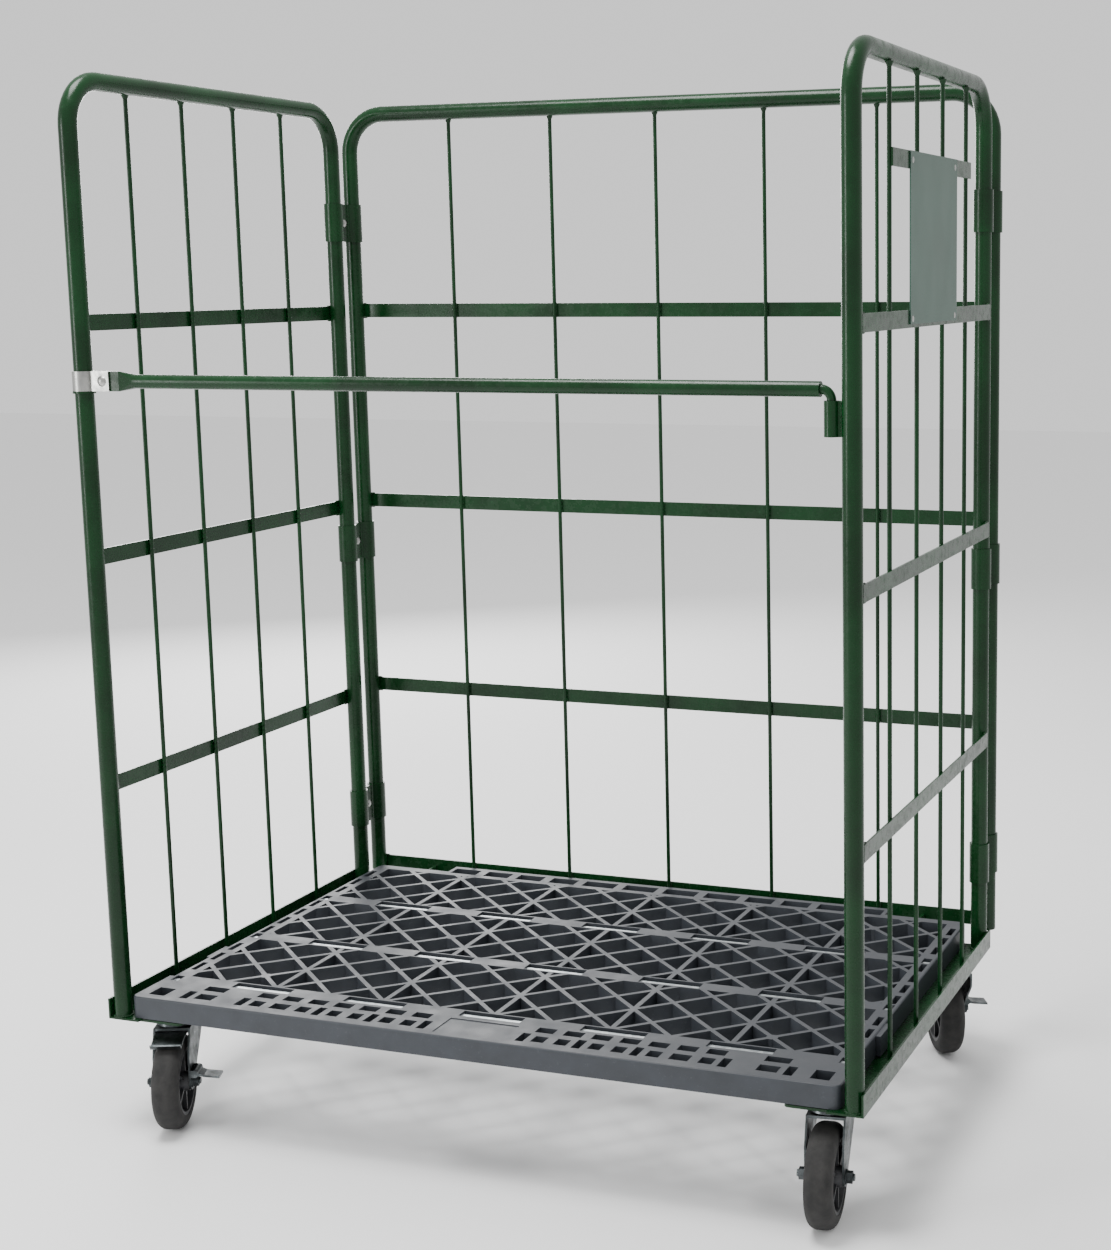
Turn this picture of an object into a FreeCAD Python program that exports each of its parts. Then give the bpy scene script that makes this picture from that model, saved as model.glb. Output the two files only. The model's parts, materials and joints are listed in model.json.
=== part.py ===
import FreeCAD, Part
import math
import os

from FreeCAD import Vector

# Roll cage container: two bent-tube side panels and a back panel joined by wrapped hinge straps, a moulded
# lattice deck hinged at the back, a lift-up front bar and four swivel castors.
# +X right, +Y to the back, +Z up, millimetres. Origin: centre of the footprint, on the floor.

# ---- driving sizes: cage ------------------------------------------------------------------------
CAGE_WIDTH = 1216.0          # between the axes of the left and right posts
CAGE_DEPTH = 786.0           # between the axes of the front posts and the back panel's posts
TUBE_TOP_Z = 1636.0          # axis of the side panels' top tubes
TUBE_R = 14.0
TUBE_WALL = 2.0
CORNER_R = 70.0              # bend of a frame tube, on its axis
HINGE_PITCH = 64.0           # side panel's rear post to the back panel's post
FOOT_Z = 187.0               # top of the base angle's flat leg, where the side posts stand
BACK_FOOT_Z = 202.0          # lower end of the back panel's posts

WIRE_R = 3.5
RAIL_T = 3.0
RAIL_H = 25.0
RAIL_PITCH = 359.5           # from the side top tube down to each rail in turn
BACK_RAIL_PITCH = 356.0
BACK_BASE_RAIL_Z = 214.0
SIDE_WIRE_PITCH = 141.5
BACK_WIRE_PITCH = 202.7
RAIL_COUNT = 3
SIDE_WIRE_COUNT = 4
BACK_WIRE_COUNT = 5
RAIL_END = 4.0               # post's axis to the end of a rail, which laps the post's outer side
WELD_R = 6.5                 # flare of the weld under a wire's top end
WELD_H = 7.0

ANGLE_T = 3.0
ANGLE_LEG = 55.0             # flat leg under the deck
ANGLE_RISE = 30.0            # upright leg above the flat leg's top
ANGLE_OVERHANG = 15.0        # past the axis of the end posts
POST_GAP = 0.2               # post to the angle's upright leg

# ---- hinge straps -------------------------------------------------------------------------------
STRAP_T = 2.8
STRAP_H = 68.0
STRAP_CLEAR = 0.1            # running clearance of the strap round its posts
STRAP_HEIGHTS = (340.0, 850.0, 1440.0)
STRAP_WEB_T = 5.6            # both layers of the strap between the posts
STRAP_FILLET_R = 7.0
HINGE_RIVET_R = 4.0
HINGE_RIVET_HEAD_R = 7.0
HINGE_RIVET_HEAD_H = 3.0

# ---- front bar ----------------------------------------------------------------------------------
BAR_Z = 1190.0
BAR_R = 10.6
BAR_WALL = 2.0
BAR_FLAT_T = 4.0
BAR_FLAT_HALF = 15.0         # half the height of the flattened end
BAR_FLAT_END = 28.0          # pivot to where the flat starts to open
BAR_ROUND_START = 58.0       # pivot to where the tube is round again
BAR_LEAST_STRAIGHT = 0.02    # keeps four edges in the round end of the neck
BAR_PIVOT_OUT = 36.0         # left post's axis to the bar's pivot
CLAMP_T = 2.5
CLAMP_H = 30.0
CLAMP_CLEAR = 0.1
CLAMP_SIDE_CLEAR = 0.3       # between the flattened end and each ear
CLAMP_EAR_END = 48.0         # left post's axis to the ears' free end
BAR_RIVET_R = 4.0
BAR_RIVET_HEAD_R = 8.0
BAR_RIVET_HEAD_H = 4.0
BAR_RIVET_CLEAR = 0.08
COLLAR_R = 17.0
COLLAR_H = 3.5
SOCKET_R = 10.5
SOCKET_BORE_R = 8.0
SOCKET_LEN = 48.0
SOCKET_GAP = 4.0             # post to the socket, filled by a welded web
SOCKET_WEB_T = 7.0
SOCKET_TOP_DROP = 15.0       # bar axis down to the socket's mouth
HOOK_R = 6.5
HOOK_BEND_R = 15.0
HOOK_PLUG_LEN = 30.0         # how far the hook's rod is let into the bar's end
HOOK_REACH = 38.0            # length of the hook inside the socket
BAR_END_PLUG_T = 3.0

# ---- deck ---------------------------------------------------------------------------------------
DECK_HALF_W = 580.0
DECK_HEAD_HALF_W = 588.0     # front band, wider than the rest
DECK_HEAD_REAR_Y = -300.0
DECK_FRONT_Y = -400.0
DECK_REAR_Y = 352.0
DECK_T = 35.0
DECK_SEAT_GAP = 0.4          # deck underside above the base angles
DECK_EDGE_R = 2.5
DECK_CORNER_R = 12.0
DECK_NUB_OUT = 8.0           # locating nub on each side
DECK_NUB_Y = -172.0
DECK_NUB_LEN = 54.0
TAIL_HALF_W = 433.0          # rear strip with the large windows
TAIL_REAR_Y = 383.0
TAIL_WINDOW_Y0 = 344.0
TAIL_WINDOW_Y1 = 372.0
TAIL_WINDOWS = ((8.0, 72.0), (89.0, 153.0), (169.0, 221.0), (238.0, 290.0), (306.0, 357.0), (373.0, 426.0))

CELL_X = 48.5                # half a diamond of the lattice across
CELL_Y = 43.9                # half a diamond of the lattice front to back
LATTICE_Y = 273.0            # one row of lattice crossings
RIB_T = 7.5
CROSS_RIB_T = 8.5
BAYS = 3                     # upright ribs each side of the middle one, the last being the border
BAY_CELLS = 4
BORDER_X = 556.0             # inner border rib
BORDER_RIB_T = 10.0
EDGE_SLOT_X0 = 563.0
EDGE_SLOT_X1 = 573.0
EDGE_SLOT_LEN = 36.0
EDGE_SLOT_PITCH = 51.0
BAND_LIMITS = ((152.0, 331.0), (-70.0, 123.0), (-293.0, -99.0))
EDGE_SLOT_COUNTS = (3, 4, 3)
BOSS_R = 9.0
BOSSES = ((9, 0), (5, 6), (9, 12))     # lattice crossings that carry a round boss

BEAM_SLOT_YS = ((126.0, 149.0), (-96.0, -73.0), (-317.0, -296.0))   # windows over the steel beams
BEAM_W = 14.0
BEAM_WALL = 1.5
BEAM_HALF_LEN = 577.0
BEAM_TOP_DROP = 3.0
BEAM_H = 20.0
BEAM_CLEAR = 0.4             # each side of the beam; its top bears on the pocket's roof
BEAM_WINDOW_W = 104.0
BEAM_WINDOW_PITCH = 203.5
BEAM_WINDOW_COUNT = 5
BEAM_END_X0 = 560.0
BEAM_END_X1 = 574.0

FRONT_ROW1_Y = (-343.0, -324.0)
FRONT_ROW1_START = 90.0
FRONT_ROW1_W = 30.0
FRONT_ROW1_PITCH = 45.8
FRONT_ROW1_COUNT = 7
FRONT_ROW1_OUTER = (455.0, 494.0)
FRONT_ROW2_Y = (-379.0, -357.0)
FRONT_ROW2 = ((100.0, 121.0), (136.5, 157.5), (192.0, 212.0), (229.0, 249.0), (284.0, 305.0),
              (320.6, 350.6), (366.0, 387.7), (455.0, 487.0))
FRONT_TALL_Y = (-383.0, -351.0)
FRONT_TALL = ((76.0, 89.5), (167.5, 181.0), (260.0, 273.0), (397.0, 411.0), (497.0, 511.0), (538.0, 567.0))
LABEL_HALF_W = 58.0
LABEL_Y = (-388.0, -329.0)
LABEL_DEPTH = 1.0

LUG_XS = (449.0, 530.0)
LUG_W = 22.0
LUG_R = 9.0
DECK_PIN_Y = 365.0
DECK_PIN_R = 4.0
DECK_PIN_CLEAR = 0.08
DECK_PIN_X0 = 434.0
DECK_PIN_X1 = 545.0
BRACKET_X = 489.5
BRACKET_T = 5.0
BRACKET_R = 9.0

# ---- placard ------------------------------------------------------------------------------------
PLACARD_Y = (-165.0, 95.0)
PLACARD_TOP_DROP = 126.0     # top tube's axis to the placard's upper edge
PLACARD_T = 2.0
PLACARD_EDGE_UP = 5.0        # lower edge above the upper rail's lower edge
PLACARD_RIVET_INSET_Y = 12.0
PLACARD_RIVET_R = 2.4
PLACARD_RIVET_HEAD_R = 4.5
PLACARD_RIVET_HEAD_H = 1.2
STRIP_PAST_WIRE = 9.0

# ---- castors ------------------------------------------------------------------------------------
WHEEL_R = 75.0
TYRE_W = 42.0
TYRE_SHOULDER_R = 15.0
HUB_R = WHEEL_R - 21.0        # leaves a 21 mm deep tyre
HUB_W = 40.0
HUB_DISH = 9.0
HUB_BOSS_R = 15.0
HUB_RIM_T = 7.0
HUB_SPOKES = 6
TRAIL = 38.0
SWIVEL_FRONT_X = 553.0
SWIVEL_REAR_X = 570.0
SWIVEL_FRONT_Y = -333.0
SWIVEL_REAR_Y = 280.0
SWIVEL_TURNS = {"front_left": 22.0, "front_right": 7.0, "rear_left": 168.0, "rear_right": 209.0}
BRAKE_SIDES = {"front_left": 1.0, "rear_right": -1.0}
MOUNT_T = 4.0
MOUNT_X0 = 502.0             # inner edge of a castor's mounting plate
MOUNT_X1 = 622.0
MOUNT_HALF_Y = 62.0
RACE_R = 35.0
RACE_T = 8.0
RACE_GAP = 0.4
CROWN_T = 9.0
CROWN_R = 33.0
FORK_T = 3.0
FORK_INNER = 26.0            # half the width between the legs
FORK_TOP_HALF = 38.0
FORK_FOOT_R = 14.0
FORK_KNEE_DROP = 22.0        # crown to where the leg's leading edge starts to slope
FORK_SHANK = 44.0            # axle to where the trailing edge starts to slope
FORK_PLATE_T = 4.0
KINGPIN_R = 6.0
KINGPIN_CLEAR = 0.08
KINGPIN_HEAD_R = 9.5
KINGPIN_HEAD_H = 4.0
AXLE_R = 5.0
SLEEVE_R = 8.0
SLEEVE_CLEAR = 0.08
SLEEVE_SIDE_GAP = 0.4
NUT_R = 9.2
NUT_H = 8.0
WASHER_R = 11.0
WASHER_T = 2.0
AXLE_STUB = 3.0

LEVER_PIVOT_UP = 16.0        # above the axle
LEVER_PIVOT_R = 3.0
LEVER_W = 26.0
LEVER_T = 3.0
LEVER_LEN = 38.0
LEVER_KNEE = 14.0            # pivot to where the tab starts to level out
LEVER_OFF = 7.0              # fork leg to the lever's pivot
LEVER_CLEAR = 0.08
SHOE_GAP = 4.0               # tyre to the shoe when the brake is off
SHOE_T = 3.0
SHOE_HALF_W = 24.0
SHOE_FROM = -12.0            # angles round the wheel, from straight up to the back
SHOE_TO = 30.0
SHOE_LIP = 9.0
SHOE_PIN_R = 2.4
SHOE_KNUCKLE_R = 4.0
SHOE_PIN_AHEAD = 14.0        # from straight above the axle
SHOE_PIN_GAP = 3.8           # pin's axis above the tread

# ---- worked-out places --------------------------------------------------------------------------
POST_X = CAGE_WIDTH / 2
FRONT_Y = -CAGE_DEPTH / 2
BACK_Y = CAGE_DEPTH / 2
REAR_Y = BACK_Y - HINGE_PITCH
SIDE_MID_Y = (FRONT_Y + REAR_Y) / 2
BACK_TOP_Z = TUBE_TOP_Z
RAIL_IN = TUBE_R - RAIL_T            # post axis to the rail's inner face
WIRE_OUT = RAIL_IN - WIRE_R          # post axis to the wire's axis
UPRIGHT_IN = TUBE_R + POST_GAP
ANGLE_OUT = UPRIGHT_IN + ANGLE_T
MOUNT_TOP_Z = FOOT_Z - ANGLE_T
RACE_TOP_Z = MOUNT_TOP_Z - MOUNT_T
RACE_LOW_Z = RACE_TOP_Z - RACE_T
CROWN_TOP_Z = RACE_LOW_Z - RACE_GAP
FORK_TOP_Z = CROWN_TOP_Z - CROWN_T
DECK_Z0 = FOOT_Z + DECK_SEAT_GAP
DECK_Z1 = DECK_Z0 + DECK_T
DECK_PIN_Z = DECK_Z0 + DECK_T / 2
BAR_PIVOT_X = -POST_X + BAR_PIVOT_OUT
SOCKET_X = POST_X - TUBE_R - SOCKET_R - SOCKET_GAP
SOCKET_TOP_Z = BAR_Z - SOCKET_TOP_DROP
BAR_END_X = SOCKET_X - HOOK_BEND_R - BAR_END_PLUG_T

parts = {}


def V(x, y, z):
    return Vector(x, y, z)


def box(x0, x1, y0, y1, z0, z1):
    return Part.makeBox(x1 - x0, y1 - y0, z1 - z0, V(x0, y0, z0))


def rod(r, start, end):
    axis = end.sub(start)
    return Part.makeCylinder(r, axis.Length, start, axis)


def ring(r_out, r_in, x, y, z0, z1):
    outer = Part.makeCylinder(r_out, z1 - z0, V(x, y, z0))
    return outer.cut(Part.makeCylinder(r_in, z1 - z0, V(x, y, z0)))


def joined(shapes):
    shape = shapes[0]
    if len(shapes) > 1:
        shape = shape.fuse(shapes[1:])
    return shape.removeSplitter()


def group(solids):
    return Part.makeCompound(solids)


def mirrored_x(shape):
    return shape.mirror(V(0, 0, 0), V(1, 0, 0))


def prism(points, height):
    """Straight-sided outline in the plane of its first three points, pushed along the vector height."""
    wire = Part.makePolygon(points + [points[0]])
    return Part.Face(wire).extrude(height)


def add(node, shape):
    parts[node] = shape


# ---- bent frames --------------------------------------------------------------------------------
def arch_path(a, b, base_z, top_z, along_y):
    """Inverted-U centre line from post a to post b, in a plane of constant X or constant Y."""
    def at(s, z):
        if along_y:
            return V(0, s, z)
        return V(s, 0, z)

    r = CORNER_R
    k = r * (1 - math.cos(math.radians(45)))
    edges = [Part.LineSegment(at(a, base_z), at(a, top_z - r)).toShape()]
    edges.append(Part.Arc(at(a, top_z - r), at(a + k, top_z - k), at(a + r, top_z)).toShape())
    edges.append(Part.LineSegment(at(a + r, top_z), at(b - r, top_z)).toShape())
    edges.append(Part.Arc(at(b - r, top_z), at(b - k, top_z - k), at(b, top_z - r)).toShape())
    edges.append(Part.LineSegment(at(b, top_z - r), at(b, base_z)).toShape())
    return Part.Wire(edges)


def arch_rod(radius, a, b, base_z, top_z, along_y):
    """Solid bent rod of that radius; a frame tube is one rod less a thinner one."""
    path = arch_path(a, b, base_z, top_z, along_y)
    start = path.OrderedVertexes[0].Point
    profile = Part.Wire(Part.makeCircle(radius, start, V(0, 0, 1)))
    return path.makePipeShell([profile], True, False)


def wire_with_weld(x, y, z0, z1):
    shaft = rod(WIRE_R, V(x, y, z0), V(x, y, z1))
    flare = Part.makeCone(WIRE_R, WELD_R, WELD_H, V(x, y, z1 - WELD_H - TUBE_R * 0.25))
    return joined([shaft, flare])


def side_wire_ys():
    middle = (SIDE_WIRE_COUNT - 1) / 2
    return [SIDE_MID_Y + (i - middle) * SIDE_WIRE_PITCH for i in range(SIDE_WIRE_COUNT)]


def rail_heights(top_z, pitch):
    return [top_z - pitch * (i + 1) for i in range(RAIL_COUNT)]


def tube_underside(offset):
    """Drop from a tube's axis to its surface at a sideways offset."""
    return math.sqrt(TUBE_R ** 2 - offset ** 2)


def side_panel(side, sign):
    outer = arch_rod(TUBE_R, FRONT_Y, REAR_Y, FOOT_Z, TUBE_TOP_Z, True)
    inner = arch_rod(TUBE_R - TUBE_WALL, FRONT_Y, REAR_Y, FOOT_Z, TUBE_TOP_Z, True)
    for arch in (outer, inner):
        arch.translate(V(sign * POST_X, 0, 0))
    wire_x = sign * (POST_X + WIRE_OUT)
    wire_top = TUBE_TOP_Z - tube_underside(WIRE_OUT + WIRE_R)
    wires = [wire_with_weld(wire_x, y, FOOT_Z, wire_top) for y in side_wire_ys()]
    wires = [w.cut(outer) for w in wires]
    rails = []
    for z in rail_heights(TUBE_TOP_Z, RAIL_PITCH):
        rail = box(POST_X + RAIL_IN, POST_X + TUBE_R, FRONT_Y + RAIL_END, REAR_Y - RAIL_END,
                   z - RAIL_H / 2, z + RAIL_H / 2)
        if sign < 0:
            rail = mirrored_x(rail)
        rails.append(rail.cut(outer))
    add(side + "_side_frame", outer.cut(inner))
    add(side + "_side_wires", group(wires))
    add(side + "_side_rails", group(rails))
    add(side + "_base_angle", base_angle(sign))


def base_angle(sign):
    y0 = FRONT_Y - ANGLE_OVERHANG
    y1 = REAR_Y + ANGLE_OVERHANG
    x1 = POST_X + ANGLE_OUT
    flat = box(x1 - ANGLE_LEG, x1, y0, y1, FOOT_Z - ANGLE_T, FOOT_Z)
    upright = box(x1 - ANGLE_T, x1, y0, y1, FOOT_Z - ANGLE_T, FOOT_Z + ANGLE_RISE)
    angle = joined([flat, upright])
    if sign < 0:
        angle = mirrored_x(angle)
    return angle


def back_panel():
    outer = arch_rod(TUBE_R, -POST_X, POST_X, BACK_FOOT_Z, BACK_TOP_Z, False)
    inner = arch_rod(TUBE_R - TUBE_WALL, -POST_X, POST_X, BACK_FOOT_Z, BACK_TOP_Z, False)
    for arch in (outer, inner):
        arch.translate(V(0, BACK_Y, 0))
    wire_top = BACK_TOP_Z - tube_underside(WIRE_OUT + WIRE_R)
    wires = []
    middle = (BACK_WIRE_COUNT - 1) / 2
    for i in range(BACK_WIRE_COUNT):
        x = (i - middle) * BACK_WIRE_PITCH
        wire = wire_with_weld(x, BACK_Y + WIRE_OUT, BACK_BASE_RAIL_Z - RAIL_H / 2, wire_top)
        wires.append(wire.cut(outer))
    reach = POST_X - RAIL_END
    rails = []
    for z in rail_heights(BACK_TOP_Z, BACK_RAIL_PITCH):
        rail = box(-reach, reach, BACK_Y + RAIL_IN, BACK_Y + TUBE_R, z - RAIL_H / 2, z + RAIL_H / 2)
        rails.append(rail.cut(outer))
    base = box(-reach, reach, BACK_Y + RAIL_IN, BACK_Y + TUBE_R,
               BACK_BASE_RAIL_Z - RAIL_H / 2, BACK_BASE_RAIL_Z + RAIL_H / 2)
    add("back_frame", outer.cut(inner))
    add("back_wires", group(wires))
    add("back_rails", group(rails))
    add("back_base_rail", base.cut(outer))


# ---- hinge straps -------------------------------------------------------------------------------
def hinge_strap(x, z):
    r_in = TUBE_R + STRAP_CLEAR
    r_out = r_in + STRAP_T
    z0 = z - STRAP_H / 2
    z1 = z + STRAP_H / 2
    web = box(x - STRAP_WEB_T / 2, x + STRAP_WEB_T / 2, REAR_Y, BACK_Y, z0, z1)
    outer = joined([Part.makeCylinder(r_out, STRAP_H, V(x, REAR_Y, z0)),
                    Part.makeCylinder(r_out, STRAP_H, V(x, BACK_Y, z0)), web])
    for y in (REAR_Y, BACK_Y):
        outer = outer.cut(Part.makeCylinder(r_in, STRAP_H, V(x, y, z0)))
    corner_y = math.sqrt(r_out ** 2 - (STRAP_WEB_T / 2) ** 2)
    corners = [e for e in outer.Edges
               if e.BoundBox.ZLength > STRAP_H - 1
               and abs(abs(e.BoundBox.XMin - x) - STRAP_WEB_T / 2) < 0.01
               and (abs(e.BoundBox.YMin - REAR_Y - corner_y) < 0.01
                    or abs(BACK_Y - e.BoundBox.YMin - corner_y) < 0.01)]
    outer = outer.makeFillet(STRAP_FILLET_R, corners)
    mid_y = (REAR_Y + BACK_Y) / 2
    return outer.cut(rod(HINGE_RIVET_R, V(x - STRAP_T * 2, mid_y, z), V(x + STRAP_T * 2, mid_y, z)))


def domed_head(r, h, base, direction):
    """Low round rivet head on the point base, standing out along direction."""
    axis = Vector(direction).normalize()
    across = V(0, 0, 1)
    ball_r = (r * r + h * h) / (2 * h)
    half_angle = math.asin(r / ball_r) / 2
    middle = base.add(Vector(axis).multiply(h - ball_r + ball_r * math.cos(half_angle)))
    middle = middle.add(Vector(across).multiply(ball_r * math.sin(half_angle)))
    rim = base.add(Vector(across).multiply(r))
    tip = base.add(Vector(axis).multiply(h))
    outline = [Part.LineSegment(base, rim).toShape(), Part.Arc(rim, middle, tip).toShape(),
               Part.LineSegment(tip, base).toShape()]
    return Part.Face(Part.Wire(outline)).revolve(base, axis, 360)


def hinge_rivet(x, z):
    mid_y = (REAR_Y + BACK_Y) / 2
    half = STRAP_WEB_T / 2
    pieces = [rod(HINGE_RIVET_R, V(x - half, mid_y, z), V(x + half, mid_y, z))]
    for s in (-1, 1):
        pieces.append(domed_head(HINGE_RIVET_HEAD_R, HINGE_RIVET_HEAD_H, V(x + s * half, mid_y, z), V(s, 0, 0)))
    return joined(pieces)


def hinges(side, sign):
    x = sign * POST_X
    add(side + "_hinge_straps", group([hinge_strap(x, z) for z in STRAP_HEIGHTS]))
    add(side + "_hinge_rivets", group([hinge_rivet(x, z) for z in STRAP_HEIGHTS]))


# ---- front bar ----------------------------------------------------------------------------------
def bar_tube():
    """Round tube with its left end pressed flat and rounded off about the rivet."""
    x0 = BAR_PIVOT_X
    half_t = BAR_FLAT_T / 2
    eye = rod(BAR_FLAT_HALF, V(x0, FRONT_Y - half_t, BAR_Z), V(x0, FRONT_Y + half_t, BAR_Z))
    flat = box(x0, x0 + BAR_FLAT_END, FRONT_Y - half_t, FRONT_Y + half_t,
               BAR_Z - BAR_FLAT_HALF, BAR_Z + BAR_FLAT_HALF)
    sections = [oval_section(x0 + BAR_FLAT_END, half_t, BAR_FLAT_HALF),
                oval_section(x0 + (BAR_FLAT_END + BAR_ROUND_START) / 2, (half_t + BAR_R) / 2,
                             (BAR_FLAT_HALF + BAR_R) / 2),
                oval_section(x0 + BAR_ROUND_START, BAR_R, BAR_R)]
    neck = Part.makeLoft(sections, True, False)
    tube = rod(BAR_R, V(x0 + BAR_ROUND_START, FRONT_Y, BAR_Z), V(BAR_END_X, FRONT_Y, BAR_Z))
    bar = joined([eye, flat, neck, tube])
    bore_r = BAR_R - BAR_WALL
    bar = bar.cut(rod(bore_r, V(x0 + BAR_ROUND_START + BAR_R, FRONT_Y, BAR_Z), V(BAR_END_X, FRONT_Y, BAR_Z)))
    pin_hole = BAR_RIVET_R + BAR_RIVET_CLEAR
    return bar.cut(rod(pin_hole, V(x0, FRONT_Y - half_t, BAR_Z), V(x0, FRONT_Y + half_t, BAR_Z)))


def oval_section(x, half_y, half_z):
    """Round-ended slot shape across the bar, half_y being the radius of its ends."""
    straight = max(half_z - half_y, BAR_LEAST_STRAIGHT)
    a = V(x, FRONT_Y - half_y, BAR_Z - straight)
    b = V(x, FRONT_Y - half_y, BAR_Z + straight)
    c = V(x, FRONT_Y + half_y, BAR_Z + straight)
    d = V(x, FRONT_Y + half_y, BAR_Z - straight)
    tip = straight + half_y
    edges = [Part.LineSegment(a, b).toShape()]
    edges.append(Part.Arc(b, V(x, FRONT_Y, BAR_Z + tip), c).toShape())
    edges.append(Part.LineSegment(c, d).toShape())
    edges.append(Part.Arc(d, V(x, FRONT_Y, BAR_Z - tip), a).toShape())
    return Part.Wire(edges)


def bar_hook():
    """Bent rod let into the bar's right end, with a washer-like plug that closes the tube."""
    start_x = BAR_END_X - HOOK_PLUG_LEN
    bend_x = SOCKET_X - HOOK_BEND_R
    low_z = SOCKET_TOP_Z - HOOK_REACH
    r = HOOK_BEND_R
    k = r * (1 - math.cos(math.radians(45)))
    edges = [Part.LineSegment(V(start_x, FRONT_Y, BAR_Z), V(bend_x, FRONT_Y, BAR_Z)).toShape()]
    edges.append(Part.Arc(V(bend_x, FRONT_Y, BAR_Z), V(SOCKET_X - k, FRONT_Y, BAR_Z - k),
                          V(SOCKET_X, FRONT_Y, BAR_Z - r)).toShape())
    edges.append(Part.LineSegment(V(SOCKET_X, FRONT_Y, BAR_Z - r), V(SOCKET_X, FRONT_Y, low_z)).toShape())
    path = Part.Wire(edges)
    profile = Part.Wire(Part.makeCircle(HOOK_R, V(start_x, FRONT_Y, BAR_Z), V(1, 0, 0)))
    hook = path.makePipeShell([profile], True, False)
    plug = rod(BAR_R, V(BAR_END_X, FRONT_Y, BAR_Z), V(BAR_END_X + BAR_END_PLUG_T, FRONT_Y, BAR_Z))
    return joined([hook, plug])


def bar_clamp():
    """Plated strap wrapped round the left front post, its two ears holding the bar's flattened end."""
    x = -POST_X
    r_in = TUBE_R + CLAMP_CLEAR
    r_out = r_in + CLAMP_T
    z0 = BAR_Z - CLAMP_H / 2
    gap = BAR_FLAT_T / 2 + CLAMP_SIDE_CLEAR
    wrap = Part.makeCylinder(r_out, CLAMP_H, V(x, FRONT_Y, z0))
    ears = box(x, x + CLAMP_EAR_END, FRONT_Y - gap - CLAMP_T, FRONT_Y + gap + CLAMP_T, z0, z0 + CLAMP_H)
    clamp = joined([wrap, ears])
    clamp = clamp.cut(Part.makeCylinder(r_in, CLAMP_H, V(x, FRONT_Y, z0)))
    clamp = clamp.cut(box(x, x + CLAMP_EAR_END, FRONT_Y - gap, FRONT_Y + gap, z0, z0 + CLAMP_H))
    reach = gap + CLAMP_T
    near = V(BAR_PIVOT_X, FRONT_Y - reach, BAR_Z)
    return clamp.cut(rod(BAR_RIVET_R, near, V(BAR_PIVOT_X, FRONT_Y + reach, BAR_Z)))


def bar_rivet():
    reach = BAR_FLAT_T / 2 + CLAMP_SIDE_CLEAR + CLAMP_T
    pieces = [rod(BAR_RIVET_R, V(BAR_PIVOT_X, FRONT_Y - reach, BAR_Z), V(BAR_PIVOT_X, FRONT_Y + reach, BAR_Z))]
    for s in (-1, 1):
        base = V(BAR_PIVOT_X, FRONT_Y + s * reach, BAR_Z)
        pieces.append(domed_head(BAR_RIVET_HEAD_R, BAR_RIVET_HEAD_H, base, V(0, s, 0)))
    return joined(pieces)


def bar_socket():
    """Short tube for the hook, with the web that joins it to the right front post."""
    low = SOCKET_TOP_Z - SOCKET_LEN
    tube = Part.makeCylinder(SOCKET_R, SOCKET_LEN, V(SOCKET_X, FRONT_Y, low))
    web = box(SOCKET_X, POST_X, FRONT_Y - SOCKET_WEB_T / 2, FRONT_Y + SOCKET_WEB_T / 2, low, SOCKET_TOP_Z)
    body = joined([tube, web])
    body = body.cut(Part.makeCylinder(SOCKET_BORE_R, SOCKET_LEN, V(SOCKET_X, FRONT_Y, low)))
    return body.cut(Part.makeCylinder(TUBE_R, TUBE_TOP_Z, V(POST_X, FRONT_Y, 0)))


def front_bar():
    z_low = BAR_Z - CLAMP_H / 2
    add("bar_tube", bar_tube())
    add("bar_hook", bar_hook())
    add("bar_clamp", bar_clamp())
    add("bar_rivet", bar_rivet())
    add("clamp_collar", ring(COLLAR_R, TUBE_R, -POST_X, FRONT_Y, z_low - COLLAR_H, z_low))
    add("bar_socket", bar_socket())


# ---- deck ---------------------------------------------------------------------------------------
def slab(x0, x1, y0, y1):
    return box(min(x0, x1), max(x0, x1), y0, y1, DECK_Z0 - 1, DECK_Z1 + 1)


def both_sides(x0, x1, y0, y1):
    return [slab(x0, x1, y0, y1), slab(-x1, -x0, y0, y1)]


def beam_windows_x():
    middle = (BEAM_WINDOW_COUNT - 1) / 2
    centres = [(i - middle) * BEAM_WINDOW_PITCH for i in range(BEAM_WINDOW_COUNT)]
    spans = [(c - BEAM_WINDOW_W / 2, c + BEAM_WINDOW_W / 2) for c in centres]
    return spans + [(BEAM_END_X0, BEAM_END_X1), (-BEAM_END_X1, -BEAM_END_X0)]


def lattice_ribs(y0, y1):
    """The ribs that cross one band: slanted both ways through the lattice crossings, and upright ones."""
    ribs = []
    half = BORDER_X + BORDER_RIB_T
    slope = CELL_Y / CELL_X
    across = RIB_T / 2 / math.cos(math.atan(slope))
    z = DECK_Z0 - 2
    tall = DECK_T + 4
    step = 2 * CELL_Y
    for direction in (-1, 1):
        offset = (LATTICE_Y + CELL_Y) % step
        reach = slope * half
        first = math.ceil((y0 - reach - offset) / step)
        last = math.floor((y1 + reach - offset) / step)
        for n in range(first, last + 1):
            y_mid = offset + n * step
            y_left = y_mid - direction * reach
            y_right = y_mid + direction * reach
            if max(y_left, y_right) < y0 or min(y_left, y_right) > y1:
                continue
            ribs.append(prism([V(-half, y_left - across, z), V(half, y_right - across, z),
                               V(half, y_right + across, z), V(-half, y_left + across, z)], V(0, 0, tall)))
    for k in range(-BAYS + 1, BAYS):
        x = k * BAY_CELLS * CELL_X
        ribs.append(box(x - CROSS_RIB_T / 2, x + CROSS_RIB_T / 2, y0, y1, z, z + tall))
    for i, j in BOSSES:
        y = LATTICE_Y - j * CELL_Y
        if y0 < y < y1:
            ribs += [Part.makeCylinder(BOSS_R, tall, V(s * i * CELL_X, y, z)) for s in (-1, 1)]
    return ribs


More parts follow.
